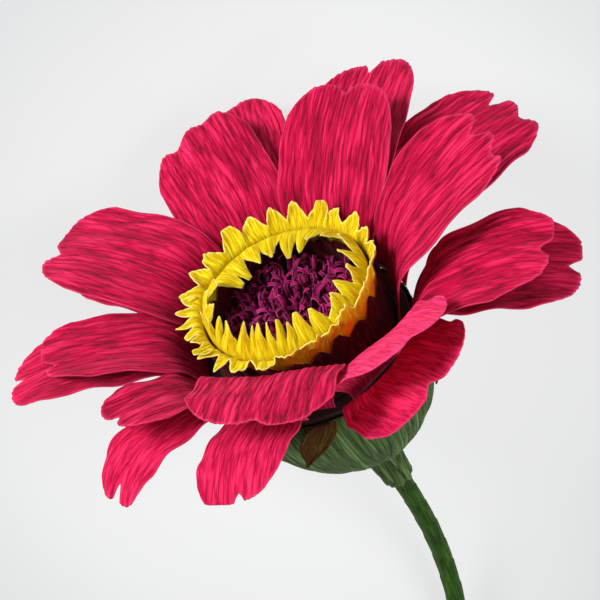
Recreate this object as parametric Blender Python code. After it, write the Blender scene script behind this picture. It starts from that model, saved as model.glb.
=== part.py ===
"""A crepe paper flower on a wrapped wire stem, lying on its petals as it comes to rest.

The bloom is modelled upright, in metres, with its axis on +Z and the crest of the yellow ring at height 0.
Every piece hangs from one empty, which then turns the whole flower onto the floor: the resting side is a
face of the flower's own convex hull, so it follows from the sizes below.
"""

import math
from dataclasses import dataclass, field

import bmesh
import bpy
from mathutils import Matrix, Vector

MM = 0.001

# Paper and the gaps between pieces that touch
PAPER = 0.4 * MM
GAP = 0.3 * MM
CREPE_RIDGE = 0.18 * MM

# Drum in the middle of the bloom, which the strips are wrapped round
DRUM_RADIUS = 15.2 * MM
CORE_TOP_DEPTH = 10.0 * MM

# Strips wrapped round the drum, each over the one before, and the curled roll that they surround
STRIP_PITCH = PAPER + GAP
LINING_RADIUS = DRUM_RADIUS - STRIP_PITCH
LINING_TOOTH = 8.4 * MM
LINING_VALLEY = 6.6 * MM
ROLL_GAP = 0.9 * MM
ROLL_RADIUS = LINING_RADIUS - ROLL_GAP
ROLL_HEIGHT = 4.6 * MM
ROLL_DOME = 0.8 * MM
ROLL_CURL = 0.9 * MM
ROLL_RINGS = 5
ROLL_COLUMNS = 20
ROLL_TURN = 0.15
INNER_STRIP_RADIUS = DRUM_RADIUS + GAP + PAPER / 2
OUTER_STRIP_RADIUS = INNER_STRIP_RADIUS + STRIP_PITCH
WRAP_RADIUS = OUTER_STRIP_RADIUS + STRIP_PITCH
TEETH = 24
FLORET_BASE_DEPTH = 7.0 * MM
INNER_TOOTH = 13.0 * MM
INNER_VALLEY = 7.9 * MM
INNER_BEND = (0.40, 0.72)
OUTER_TOOTH = 11.6 * MM
OUTER_VALLEY = 7.6 * MM
OUTER_BEND = (0.50, 0.75)
WRAP_TOOTH = 11.8 * MM
WRAP_VALLEY = 9.2 * MM

# Slopes that the teeth were bent to, in degrees, at places round the drum: 90 stands up, 180 lies inwards
INNER_LEANS = [
    (0, 122), (30, 165), (60, 200), (125, 200), (160, 140),
    (190, 122), (240, 150), (310, 147), (340, 128), (360, 122),
]
OUTER_LEANS = [(0, 62), (45, 56), (120, 52), (165, 32), (215, 28), (250, 50), (300, 66), (330, 70), (360, 62)]
UPRIGHT = 90
UPRIGHT_LEANS = [(0, UPRIGHT), (360, UPRIGHT)]

# Petals, all cut from one pattern and then stretched one by one
PETAL_BASE_RADIUS = WRAP_RADIUS + STRIP_PITCH
PETAL_BASE_DEPTH = 13.2 * MM
PETAL_LENGTH = 42.0 * MM
PETAL_WIDTH = 24.0 * MM
PETAL_NECK_END = 0.5
PETAL_FLAT_FROM = 0.7
PETAL_TWIST_END = 0.8
PETAL_CORNER = 0.22
PETAL_CORNER_POWER = 4
LAYER_STEP = 0.7 * MM
LAYER_SPREAD = 0.6 * MM
PETAL_ROWS = 6
PETAL_COLUMNS = 12

# Calyx and sepals
CALYX_FLARE = 2.8 * MM
CALYX_RADIUS = PETAL_BASE_RADIUS + CALYX_FLARE
CALYX_RIM_DROP = 1.2 * MM
CALYX_RIM_DEPTH = PETAL_BASE_DEPTH + CALYX_RIM_DROP
CALYX_RIM_HEIGHT = 2.1 * MM
CALYX_WIDEST_DEPTH = CALYX_RIM_DEPTH + CALYX_RIM_HEIGHT
CALYX_HEIGHT = 29.0 * MM
CALYX_PLEATS = 16
CALYX_PLEAT_DEPTH = 0.22 * MM
CALYX_ROWS = 5
CORE_SHOULDER_GAP = 0.6 * MM
CORE_DEPTH = PETAL_BASE_DEPTH + CORE_SHOULDER_GAP
CORE_TURNS = 5
CORE_SIDES = 20
SEPALS = 5
SEPAL_LENGTH = 8.5 * MM
SEPAL_WIDTH = 8.0 * MM
SEPAL_FIRST = 258
SEPAL_RISE = 0.6 * MM
SEPAL_SWERVE = -11
SEPAL_SLOPES = [(0, -60), (0.5, -78), (1, -86)]
SEPAL_TIP_SHARE = 0.06
SEPAL_WIDEST = 0.28
SEPAL_POINTED = 1.2
SEPAL_CURL = 0.5 * MM
SEPAL_ROWS = 5
SEPAL_COLUMNS = 3

# Stem
WIRE_RADIUS = 0.8 * MM
WIRE_IN_CORE = 18.0 * MM
STEM_RADIUS = 1.95 * MM
STEM_LENGTH = 120.0 * MM
STEM_STRAIGHT = 14.0 * MM
STEM_NECK_TILT = 5
STEM_NECK_SIDE = 0
STEM_BENT = 85.0 * MM
STEM_BEND = 34
STEM_BEND_SIDE = 232
STEM_STEPS = 14
PATH_STEPS = 4 * STEM_STEPS
COLLAR_TOP = 1.0 * MM
COLLAR_LENGTH = 14.0 * MM
COLLAR_RADIUS = 3.6 * MM
COLLAR_PLEATS = 8
COLLAR_RAG = 1.2 * MM
COLLAR_WAIST = 0.5 * MM
COLLAR_WAIST_PLACE = 0.45
COLLAR_ROWS = 3

# Densities in kg per cubic metre, which decide how the flower balances when it is laid down
PAPER_DENSITY = 800
CORE_DENSITY = 250
STEEL_DENSITY = 7850

# The side of the bloom that lies on the floor, as a direction round its axis
RESTING_SIDE = 90


@dataclass
class Petal:
    """One petal: where it points, how far the crepe was stretched, how it was bent, and its tip."""

    place: str
    direction: float
    stretch: float
    spread: float
    rise: float
    droop: float
    twist: float = 0.0
    cup: float = 0.0
    skew: float = 0.0
    layer: int = 0
    wrap: float = 1.0
    neck: float = 0.5
    start: float = 76.0
    upright: float = 0.15
    bend_at: float = 0.5
    notches: list = field(default_factory=list)

    def strip(self):
        """The petal's middle line, seen from the side."""
        slopes = [(0, self.start), (self.upright, self.start), (self.bend_at, self.rise), (1, self.droop)]
        radius = PETAL_BASE_RADIUS + self.layer * LAYER_STEP
        return Strip(radius, -PETAL_BASE_DEPTH, self.stretch * PETAL_LENGTH, slopes)

    def tip(self, across):
        """The share of the length that the petal has at this place across it, from -1 to 1."""
        edge = 1 - PETAL_CORNER * abs(across) ** PETAL_CORNER_POWER + self.skew * across
        for place, depth, width in self.notches:
            edge -= depth * math.exp(-(((across - place) / width) ** 2))
        return edge

    def point(self, strip, across, along, ridge):
        """The point across the petal and along it, lifted by the crepe's ridge."""
        share = along * self.tip(across)
        radius, height, slope = strip.at(share * strip.length)
        full = self.spread * PETAL_WIDTH
        sideways = across * full / 2 * (self.neck + (1 - self.neck) * smooth(share / PETAL_NECK_END))
        lift = self.cup * PETAL_WIDTH * (2 * sideways / full) ** 2 * smooth(share * 1.5)
        lift += sideways * math.tan(math.radians(self.twist)) * smooth(share / PETAL_TWIST_END)
        lift += ridge * smooth(share * 3) - self.layer * LAYER_SPREAD * smooth(share * 2)
        radius -= lift * math.sin(slope)
        height += lift * math.cos(slope)
        hug = self.wrap * (1 - smooth(share / PETAL_FLAT_FROM))
        turn = sideways / max(radius, PETAL_BASE_RADIUS)
        outward = radius * (1 - hug * (1 - math.cos(turn)))
        along_rim = hug * radius * math.sin(turn) + (1 - hug) * sideways
        facing = math.radians(self.direction)
        return Vector(
            (
                outward * math.cos(facing) - along_rim * math.sin(facing),
                outward * math.sin(facing) + along_rim * math.cos(facing),
                height,
            )
        )


INNER_PETALS = [
    Petal(
        "right", -9, 1.0, 0.875, 42, 24, twist=9, cup=0.08, skew=-0.04,
        notches=[(0.25, 0.08, 0.15), (-0.35, 0.06, 0.2)],
    ),
    Petal("top", 45, 0.88, 1.04, 42, 20, twist=-8, cup=0.08, skew=0.03, notches=[(0.1, 0.05, 0.12)]),
    Petal(
        "upleft", 93, 0.975, 0.92, 20, 6, twist=-6, cup=-0.04, skew=-0.04, layer=1, start=74,
        notches=[(0.35, 0.07, 0.2), (-0.3, 0.04, 0.2)],
    ),
    Petal("left", 135, 1.035, 1.0, 15, -5, twist=8, cup=0.04, skew=-0.04, notches=[(0.2, 0.06, 0.15)]),
    Petal(
        "lowleft", 168, 0.86, 0.75, 20, 1, twist=10, cup=0.04, skew=-0.06, layer=3,
        notches=[(0.2, 0.06, 0.15)],
    ),
    Petal(
        "botleft", 203, 0.7, 0.64, 34, 18, twist=8, cup=0.04, layer=2, start=68, upright=0.3,
        notches=[(0, 0.06, 0.15)],
    ),
    Petal(
        "bottom", 245.5, 0.72, 1.1, 26, 13, twist=-4, cup=0.04, skew=0.05, wrap=0, neck=0.51, start=84,
        upright=0.35, notches=[(0, 0.05, 0.15)],
    ),
    Petal(
        "front", 295, 0.65, 0.96, 37, 30, twist=-6, layer=1, wrap=0, neck=0.55, start=71, upright=0.37,
        notches=[(0, 0.05, 0.15)],
    ),
    Petal(
        "rightlow", 329.5, 0.905, 0.75, 25.5, -4, twist=8, cup=0.04, skew=0.06, layer=3, start=66,
        notches=[(0.1, 0.06, 0.15)],
    ),
]
OUTER_PETALS = [
    Petal(
        "right", 19, 1.11, 1.08, 6, -11, twist=3, layer=4, start=66,
        notches=[(0.25, 0.08, 0.1), (-0.35, 0.06, 0.2)],
    ),
    Petal(
        "top", 49, 1.095, 1.0, 14, 1, twist=-10, cup=0.04, skew=0.02, layer=3, start=66,
        notches=[(0.1, 0.06, 0.1)],
    ),
    Petal("upleft", 84, 1.05, 0.92, 9, 1, twist=-10, layer=5, start=66, notches=[(0.35, 0.06, 0.2)]),
    Petal("left", 130, 0.88, 0.83, 7, -8, layer=3, start=66),
    Petal("lowleft", 168, 1.0, 0.79, 13, -13, twist=8, layer=4, start=66, notches=[(0, 0.06, 0.1)]),
    Petal("botleft", 208, 0.905, 0.5, 16, -48, layer=4, start=66, notches=[(0, 0.1, 0.1)]),
    Petal(
        "bottom", 238, 0.73, 0.75, 20, -34, twist=15, skew=-0.1, layer=3, start=66,
        notches=[(0, 0.06, 0.1)],
    ),
    Petal(
        "front", 293, 0.54, 1.05, 23, 10, twist=10, layer=4, start=68, upright=0.22,
        notches=[(0, 0.08, 0.12)],
    ),
    Petal(
        "rightlow", 335, 0.94, 0.83, 2, -22, twist=6, cup=0.04, skew=0.02, layer=5, start=66,
        notches=[(0, 0.06, 0.1)],
    ),
]


def smooth(value):
    """Eases from 0 to 1 with level ends."""
    value = min(max(value, 0.0), 1.0)
    return value * value * (3 - 2 * value)


def eased(places, wanted):
    """The value at a place, eased between the (place, value) pairs on its two sides."""
    for (start, before), (end, after) in zip(places, places[1:]):
        if wanted <= end:
            return before + (after - before) * smooth((wanted - start) / (end - start))
    return places[-1][1]


class Strip:
    """The side view of a bent strip: it leaves (radius, height) and passes through the given slopes."""

    STEPS = 80

    def __init__(self, radius, height, length, slopes):
        self.length = length
        self.slopes = slopes
        self.radii = [radius]
        self.heights = [height]
        step = length / self.STEPS
        for i in range(self.STEPS):
            slope = self.slope((i + 0.5) / self.STEPS)
            self.radii.append(self.radii[-1] + step * math.cos(slope))
            self.heights.append(self.heights[-1] + step * math.sin(slope))

    def slope(self, share):
        """The slope in radians at this share of the length."""
        return math.radians(eased(self.slopes, share))

    def at(self, distance):
        """Radius, height and slope at this distance along the strip."""
        place = min(max(distance / self.length, 0.0), 1.0) * self.STEPS
        index = min(int(place), self.STEPS - 1)
        part = place - index
        radius = self.radii[index] + (self.radii[index + 1] - self.radii[index]) * part
        height = self.heights[index] + (self.heights[index + 1] - self.heights[index]) * part
        return radius, height, self.slope(place / self.STEPS)


class Path:
    """The stem's centre line: straight, then bent evenly to one side."""

    def __init__(self):
        self.points = []
        self.tangents = []
        down = Vector((0, 0, -1))
        neck = tilted(down, STEM_NECK_TILT, STEM_NECK_SIDE)
        end = tilted(down, STEM_BEND, STEM_BEND_SIDE)
        self.start = CALYX_WIDEST_DEPTH + CALYX_HEIGHT
        point = leaned(Vector((0, 0, -self.start)))
        self.step = STEM_LENGTH / PATH_STEPS
        for i in range(PATH_STEPS + 1):
            bend = smooth((i * self.step - STEM_STRAIGHT) / (STEM_BENT - STEM_STRAIGHT))
            tangent = neck.lerp(end, bend).normalized()
            self.points.append(point.copy())
            self.tangents.append(tangent)
            point = point + tangent * self.step

    def at(self, distance):
        """Point and direction at this distance below the calyx."""
        place = min(max(distance / self.step, 0.0), len(self.points) - 1.001)
        index = int(place)
        part = place - index
        return (
            self.points[index].lerp(self.points[index + 1], part),
            self.tangents[index].lerp(self.tangents[index + 1], part).normalized(),
        )


def tilted(direction, angle, side):
    """The direction turned by this angle towards the given side of the flower's axis, in degrees."""
    outward = Vector((math.cos(math.radians(side)), math.sin(math.radians(side)), 0))
    return direction * math.cos(math.radians(angle)) + outward * math.sin(math.radians(angle))


def leaned(point):
    """The calyx leans with the neck of the stem, further the lower it is."""
    down = max(0.0, -point.z - CALYX_WIDEST_DEPTH)
    side = math.radians(STEM_NECK_SIDE)
    return point + Vector((math.cos(side), math.sin(side), 0)) * down * math.tan(math.radians(STEM_NECK_TILT))


def material(name, colour, roughness, metallic=0.0):
    """A plain Principled material."""
    made = bpy.data.materials.new(name)
    made.use_nodes = True
    shader = made.node_tree.nodes["Principled BSDF"]
    shader.inputs["Base Color"].default_value = (*colour, 1.0)
    shader.inputs["Roughness"].default_value = roughness
    shader.inputs["Metallic"].default_value = metallic
    return made


def add(name, mesh_or_curve, finish, holder):
    """A named object that hangs from the holder."""
    made = bpy.data.objects.new(name, mesh_or_curve)
    made.data.materials.append(finish)
    made.parent = holder
    bpy.context.scene.collection.objects.link(made)
    return made


def grid(name, rows, columns, point, finish, holder, ring=False):
    """A sheet of rows by columns faces, from point(row, column); a ring closes on itself."""
    mesh = bpy.data.meshes.new(name)
    made = bmesh.new()
    across = columns if ring else columns + 1
    points = [[made.verts.new(point(row, column)) for column in range(across)] for row in range(rows + 1)]
    for row in range(rows):
        for column in range(columns):
            beside = (column + 1) % across
            lower, upper = points[row], points[row + 1]
            made.faces.new((lower[column], lower[beside], upper[beside], upper[column]))
    made.to_mesh(mesh)
    made.free()
    mesh.shade_smooth()
    return add(name, mesh, finish, holder)


def thicken(made, thickness, side=0.0):
    """Gives a sheet its thickness: side 0 is centred, -1 is all behind its face."""
    solid = made.modifiers.new("Thickness", "SOLIDIFY")
    solid.thickness = thickness
    solid.offset = side
    return made


def spun(name, profile, steps, finish, holder):
    """A turned solid from (radius, height) points that start and end on the axis."""
    mesh = bpy.data.meshes.new(name)
    made = bmesh.new()
    corners = [made.verts.new((radius, 0, height)) for radius, height in profile]
    edges = [made.edges.new(pair) for pair in zip(corners, corners[1:])]
    bmesh.ops.spin(
        made, geom=corners + edges, cent=(0, 0, 0), axis=(0, 0, 1), angle=math.tau, steps=steps,
        use_merge=True,
    )
    bmesh.ops.remove_doubles(made, verts=made.verts, dist=MM / 1000)
    bmesh.ops.recalc_face_normals(made, faces=made.faces)
    made.to_mesh(mesh)
    made.free()
    mesh.shade_smooth()
    mesh.set_sharp_from_angle(angle=math.radians(40))
    return add(name, mesh, finish, holder)


def around(angle, radius, height):
    """A point at this angle round the flower's axis, in radians."""
    return Vector((radius * math.cos(angle), radius * math.sin(angle), height))


def petal(spec, layer_name, finish, holder):
    """One crepe petal, bent along its length and ridged along the grain."""
    strip = spec.strip()

    def point(row, column):
        ridge = CREPE_RIDGE * (1 if column % 2 else -1)
        return spec.point(strip, 2 * column / PETAL_COLUMNS - 1, row / PETAL_ROWS, ridge)

    made = grid(f"petal_{layer_name}_{spec.place}", PETAL_ROWS, PETAL_COLUMNS, point, finish, holder)
    return thicken(made, PAPER)


def toothed_strip(name, radius, base_depth, tooth, valley, bend, leans, rows, finish, holder):
    """A strip wrapped into a ring, its upper edge cut to pointed teeth and bent over between two places."""
    strips = []
    for column in range(2 * TEETH):
        lean = eased(leans, 360 * column / (2 * TEETH))
        slopes = [(0, UPRIGHT), (bend[0], UPRIGHT), (bend[1], lean), (1, lean)]
        strips.append(Strip(radius, -base_depth, tooth, slopes))

    def point(row, column):
        reach = tooth if column % 2 else valley
        distance, height, _ = strips[column].at(row / rows * reach)
        return around(math.tau * column / (2 * TEETH), distance, height)

    made = grid(name, rows, 2 * TEETH, point, finish, holder, ring=True)
    return thicken(made, PAPER)


def centre_roll(finish, holder):
    """The curled middle: one rolled strip whose cut edge stands up in ragged rings."""
    bottom = -CORE_TOP_DEPTH + GAP
    mesh = bpy.data.meshes.new("centre_roll")
    made = bmesh.new()

    def ragged(ring, column):
        wave = math.sin(2.4 * column + 1.7 * ring) + math.sin(5.3 * column - 2.1 * ring)
        return ROLL_CURL * (0.5 * wave + (0.8 if ring % 2 else -0.8))

    sides = range(ROLL_COLUMNS)
    rows = [[made.verts.new(around(math.tau * c / ROLL_COLUMNS, ROLL_RADIUS, bottom)) for c in sides]]
    for ring in range(ROLL_RINGS):
        radius = ROLL_RADIUS * (1 - ring / ROLL_RINGS)
        level = bottom + ROLL_HEIGHT - ROLL_DOME * smooth(ring / ROLL_RINGS)
        turn = math.tau * ROLL_TURN * ring / ROLL_COLUMNS
        rows.append(
            [
                made.verts.new(around(math.tau * c / ROLL_COLUMNS + turn, radius, level + ragged(ring, c)))
                for c in sides
            ]
        )
    for lower, upper in zip(rows, rows[1:]):
        for c in sides:
            after = (c + 1) % ROLL_COLUMNS
            made.faces.new((lower[c], lower[after], upper[after], upper[c]))
    made.faces.new(list(reversed(rows[0])))
    made.faces.new(rows[-1])
    made.to_mesh(mesh)
    made.free()
    mesh.shade_smooth()
    return add("centre_roll", mesh, finish, holder)


def bowl(turn, inset):
    """Radius and height on the calyx bowl: turn 0 is its widest, a quarter turn its bottom."""
    return (
        (CALYX_RADIUS - inset) * math.cos(turn),
        -CALYX_WIDEST_DEPTH - (CALYX_HEIGHT - inset) * math.sin(turn),
    )


def calyx_cup(finish, holder):
    """The green crepe bowl, gathered into pleats that run to the stem."""
    neck = STEM_RADIUS + 2 * GAP
    last = math.acos(neck / CALYX_RADIUS)

    def point(row, column):
        angle = math.tau * column / (2 * CALYX_PLEATS)
        if row == 0:
            radius, height = CALYX_RADIUS, -CALYX_RIM_DEPTH
        else:
            radius, height = bowl(last * (row - 1) / (CALYX_ROWS - 1), 0)
        pleat = CALYX_PLEAT_DEPTH * (1 if column % 2 else -1) * (radius - neck) / CALYX_RADIUS
        return leaned(around(-angle, radius + pleat, height))

    made = grid("calyx_cup", CALYX_ROWS, 2 * CALYX_PLEATS, point, finish, holder, ring=True)
    return thicken(made, PAPER)


def flower_core(finish, holder):
    """The solid paper core: the drum, a shoulder that carries the petals, and the ball in the calyx."""
    inset = PAPER / 2 + GAP + CALYX_PLEAT_DEPTH
    bore = WIRE_RADIUS + GAP
    bore_top = -CALYX_WIDEST_DEPTH - CALYX_HEIGHT + WIRE_IN_CORE + GAP
    drum = DRUM_RADIUS - GAP
    profile = [(0, -CORE_TOP_DEPTH), (drum, -CORE_TOP_DEPTH), (drum, -CORE_DEPTH)]
    profile.append((bowl(0, inset)[0], -CORE_DEPTH))
    last = math.acos(bore / (CALYX_RADIUS - inset))
    profile += [bowl(last * i / CORE_TURNS, inset) for i in range(CORE_TURNS + 1)]
    profile += [(bore, bore_top), (0, bore_top)]
    made = spun("flower_core", profile, CORE_SIDES, finish, holder)
    for corner in made.data.vertices:
        corner.co = leaned(corner.co)
    return made


def sepal(number, finish, holder):
    """A pointed leaf that hangs from the calyx rim."""
    facing = SEPAL_FIRST + 360 / SEPALS * (number - 1)
    start = CALYX_RADIUS + PAPER + GAP + CALYX_PLEAT_DEPTH
    strip = Strip(start, -CALYX_RIM_DEPTH + SEPAL_RISE, SEPAL_LENGTH, SEPAL_SLOPES)

    def point(row, column):
        share = row / SEPAL_ROWS
        across = 2 * column / SEPAL_COLUMNS - 1
        radius, height, _ = strip.at(share * SEPAL_LENGTH)
        taper = math.sin(math.pi * (SEPAL_WIDEST + (1 - SEPAL_WIDEST) * share)) ** SEPAL_POINTED
        width = SEPAL_WIDTH * (SEPAL_TIP_SHARE + (1 - SEPAL_TIP_SHARE) * taper)
        turn = math.radians(facing + SEPAL_SWERVE * share) + across * width / 2 / radius
        return leaned(around(turn, radius, height + SEPAL_CURL * across * across))

    made = grid(f"sepal_{number}", SEPAL_ROWS, SEPAL_COLUMNS, point, finish, holder)
    return thicken(made, PAPER)


def stem_tube(name, path, start, finish, holder):
    """The wound paper stem: a curve with a bevel, its wall turned inwards round the wire."""
    made = curve(name, path, start, STEM_RADIUS, finish, holder)
    made.data.use_fill_caps = False
    return thicken(made, STEM_RADIUS - WIRE_RADIUS - GAP, -1)


def curve(name, path, start, radius, finish, holder):
    """A round bar along the stem's path from this distance to its end."""
    line = bpy.data.curves.new(name, "CURVE")
    line.dimensions = "3D"
    line.bevel_depth = radius
    line.bevel_resolution = 2
    line.use_fill_caps = True
    spline = line.splines.new("POLY")
    places = [start + (STEM_LENGTH - start) * i / STEM_STEPS for i in range(STEM_STEPS + 1)]
    points = [path.at(place)[0] for place in places]
    if start == 0:
        points.insert(0, points[0] - path.tangents[0] * WIRE_IN_CORE)
    spline.points.add(len(points) - 1)
    for corner, point in zip(spline.points, points):
        corner.co = (*point, 1)
    return add(name, line, finish, holder)


def stem_collar(path, finish, holder):
    """The sleeve under the calyx, gathered and torn along its lower edge."""

    def point(row, column):
        share = row / COLLAR_ROWS
        rag = COLLAR_RAG * math.sin(2.1 * column) if row == COLLAR_ROWS else 0
        place, direction = path.at(COLLAR_TOP + (COLLAR_LENGTH - COLLAR_TOP) * share + rag)
        side = direction.cross(Vector((0, 1, 0))).normalized()
        other = direction.cross(side)
        angle = math.tau * column / (2 * COLLAR_PLEATS)
        pleat = GAP / 2 * (1 if column % 2 else -1)
        radius = COLLAR_RADIUS - 2 * COLLAR_WAIST * abs(share - COLLAR_WAIST_PLACE) + pleat
        return place + radius * (math.cos(angle) * side + math.sin(angle) * other)

    made = grid("stem_collar", COLLAR_ROWS, 2 * COLLAR_PLEATS, point, finish, holder, ring=True)
    return thicken(made, PAPER)


def shape_of(made):
    """The evaluated mesh of an object as world points and triangles."""
    graph = bpy.context.evaluated_depsgraph_get()
    shown = made.evaluated_get(graph)
    mesh = shown.to_mesh()
    mesh.calc_loop_triangles()
    points = [shown.matrix_world @ corner.co for corner in mesh.vertices]
    faces = [tuple(triangle.vertices) for triangle in mesh.loop_triangles]
    shown.to_mesh_clear()
    return points, faces


def weight_and_moment(points, faces):
    """Signed volume of a closed mesh, and that volume times its centre."""
    volume = 0.0
    moment = Vector((0, 0, 0))
    for a, b, c in faces:
        part = points[a].dot(points[b].cross(points[c])) / 6
        volume += part
        moment += part * (points[a] + points[b] + points[c]) / 4
    return volume, moment


def resting_turn(pieces):
    """The rotation that lays the flower on the stable side nearest to its resting side."""
    weight = 0.0
    moment = Vector((0, 0, 0))
    everything = bmesh.new()
    for made, density in pieces:
        points, faces = shape_of(made)
        volume, part = weight_and_moment(points, faces)
        weight += abs(volume) * density
        moment += part * density * (1 if volume > 0 else -1)
        for point in points:
            everything.verts.new(point)
    balance = moment / weight
    hull = bmesh.ops.convex_hull(everything, input=everything.verts, use_existing_faces=False)
    wanted = Vector((math.cos(math.radians(RESTING_SIDE)), math.sin(math.radians(RESTING_SIDE)), 0))
    best = None
    for face in {item for item in hull["geom"] if isinstance(item, bmesh.types.BMFace)}:
        corners = [corner.co.copy() for corner in face.verts]
        normal = (corners[1] - corners[0]).cross(corners[2] - corners[0])
        if normal.length == 0:
            continue
        normal.normalize()
        if normal.dot(corners[0] - balance) < 0:
            normal.negate()
            corners.reverse()
        foot = balance + normal * normal.dot(corners[0] - balance)
        sides = zip(corners, corners[1:] + corners[:1])
        inside = all((after - before).cross(foot - before).dot(normal) > 0 for before, after in sides)
        if inside and (best is None or normal.dot(wanted) > best.dot(wanted)):
            best = normal
    everything.free()
    return best.rotation_difference(Vector((0, 0, -1))).to_matrix().to_4x4()


def lay_down(holder, pieces, path):
    """Turns the flower onto its resting side, its stem towards -Y, with the origin under the box's middle."""
    bpy.context.view_layer.update()
    turn = resting_turn(pieces)
    stem = turn @ (path.points[-1] - path.points[0])
    turn = Matrix.Rotation(-math.pi / 2 - math.atan2(stem.y, stem.x), 4, "Z") @ turn
    holder.matrix_world = turn
    bpy.context.view_layer.update()
    points = [point for made, _ in pieces for point in shape_of(made)[0]]
    low = Vector(min(point[axis] for point in points) for axis in range(3))
    high = Vector(max(point[axis] for point in points) for axis in range(3))
    foot = Vector(((low.x + high.x) / 2, (low.y + high.y) / 2, low.z))
    holder.matrix_world = Matrix.Translation(-foot) @ turn


def main():
    """Builds the flower and lays it down."""
    for old in list(bpy.data.objects):
        bpy.data.objects.remove(old, do_unlink=True)
    holder = bpy.data.objects.new("flower", None)
    bpy.context.scene.collection.objects.link(holder)

    crimson = material("crimson_crepe", (0.57, 0.012, 0.07), 0.75)
    yellow = material("yellow_crepe", (0.80, 0.55, 0.02), 0.75)
    maroon = material("maroon_crepe", (0.035, 0.001, 0.008), 0.8)
    purple = material("purple_crepe", (0.09, 0.004, 0.05), 0.7)
    green = material("green_crepe", (0.04, 0.07, 0.022), 0.8)
    brown = material("brown_crepe", (0.03, 0.012, 0.003), 0.8)
    stem_green = material("stem_paper", (0.03, 0.09, 0.01), 0.6)
    core_paper = material("core_paper", (0.035, 0.02, 0.012), 0.9)
    steel = material("florist_wire", (0.5, 0.5, 0.5), 0.35, 1.0)

    path = Path()
    paper_pieces = [petal(spec, "inner", crimson, holder) for spec in INNER_PETALS]
    paper_pieces += [petal(spec, "outer", crimson, holder) for spec in OUTER_PETALS]
    paper_pieces += [
        toothed_strip(
            "florets_inner", INNER_STRIP_RADIUS, FLORET_BASE_DEPTH, INNER_TOOTH, INNER_VALLEY,
            INNER_BEND, INNER_LEANS, 4, yellow, holder,
        ),
        toothed_strip(
            "florets_outer", OUTER_STRIP_RADIUS, FLORET_BASE_DEPTH, OUTER_TOOTH, OUTER_VALLEY,
            OUTER_BEND, OUTER_LEANS, 3, yellow, holder,
        ),
        toothed_strip(
            "drum_wrap", WRAP_RADIUS, PETAL_BASE_DEPTH, WRAP_TOOTH, WRAP_VALLEY,
            OUTER_BEND, UPRIGHT_LEANS, 1, maroon, holder,
        ),
        toothed_strip(
            "drum_lining", LINING_RADIUS, CORE_TOP_DEPTH - GAP, LINING_TOOTH, LINING_VALLEY,
            OUTER_BEND, UPRIGHT_LEANS, 1, maroon, holder,
        ),
        centre_roll(purple, holder),
        calyx_cup(green, holder),
        stem_collar(path, green, holder),
        stem_tube("stem_wrap", path, GAP, stem_green, holder),
    ]
    paper_pieces += [sepal(number, brown, holder) for number in range(1, SEPALS + 1)]
    pieces = [(made, PAPER_DENSITY) for made in paper_pieces]
    pieces.append((flower_core(core_paper, holder), CORE_DENSITY))
    pieces.append((curve("stem_wire", path, 0, WIRE_RADIUS, steel, holder), STEEL_DENSITY))
    lay_down(holder, pieces, path)


main()
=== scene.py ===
"""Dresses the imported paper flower: petals, toothed strips, a curled middle, a calyx and a wound stem.

The bloom is shaped in the flower head's own frame, in metres, with its axis on +Z and the crest of the yellow
ring at height 0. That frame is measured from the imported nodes, so every piece lands where the frame holds it.
"""

import logging
import math
import random
from dataclasses import dataclass, field
from enum import Enum
from typing import Callable

import bmesh
import bpy
import numpy as np
from mathutils import Matrix, Vector, noise

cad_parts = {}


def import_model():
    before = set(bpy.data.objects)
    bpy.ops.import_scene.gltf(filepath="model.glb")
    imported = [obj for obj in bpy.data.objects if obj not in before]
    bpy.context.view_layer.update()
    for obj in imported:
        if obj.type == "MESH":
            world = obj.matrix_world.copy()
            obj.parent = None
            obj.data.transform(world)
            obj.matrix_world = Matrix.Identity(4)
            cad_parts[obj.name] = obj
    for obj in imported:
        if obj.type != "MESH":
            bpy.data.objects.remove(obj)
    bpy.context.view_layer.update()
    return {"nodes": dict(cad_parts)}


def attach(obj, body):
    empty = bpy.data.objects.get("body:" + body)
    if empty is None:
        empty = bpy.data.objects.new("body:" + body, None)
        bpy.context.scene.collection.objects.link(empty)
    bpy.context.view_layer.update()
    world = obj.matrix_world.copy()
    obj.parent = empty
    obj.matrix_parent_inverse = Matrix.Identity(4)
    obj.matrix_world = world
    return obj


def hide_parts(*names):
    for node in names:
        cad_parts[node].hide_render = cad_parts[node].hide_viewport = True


log = logging.getLogger("paper_flower")

MM = 0.001
BODY = "root"

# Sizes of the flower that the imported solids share
CREPE_THICKNESS = 0.24 * MM
STRIP_PITCH = 0.7 * MM
DRUM_RADIUS = 15.2 * MM
LINING_RADIUS = DRUM_RADIUS - STRIP_PITCH
INNER_STRIP_RADIUS = DRUM_RADIUS + 0.5 * MM
OUTER_STRIP_RADIUS = INNER_STRIP_RADIUS + STRIP_PITCH
WRAP_RADIUS = OUTER_STRIP_RADIUS + STRIP_PITCH
PETAL_BASE_RADIUS = WRAP_RADIUS + STRIP_PITCH
PETAL_BASE_DEPTH = 13.2 * MM
PETAL_LENGTH = 42.0 * MM
PETAL_WIDTH = 24.0 * MM
PETAL_NECK_END = 0.5
PETAL_FLAT_FROM = 0.7
PETAL_TWIST_END = 0.8
PETAL_CORNER = 0.22
PETAL_CORNER_POWER = 4
PETAL_FACES = {"inner": (120, 72), "outer": (96, 60)}
LAYER_STEP = 0.7 * MM
LAYER_SPREAD = 0.6 * MM
FLORET_BASE_DEPTH = 7.0 * MM
MIDDLE_BASE_DEPTH = 9.7 * MM
TEETH = 24
NECK_TILT = 5
MEAN_RELIEF = 0.4

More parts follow.
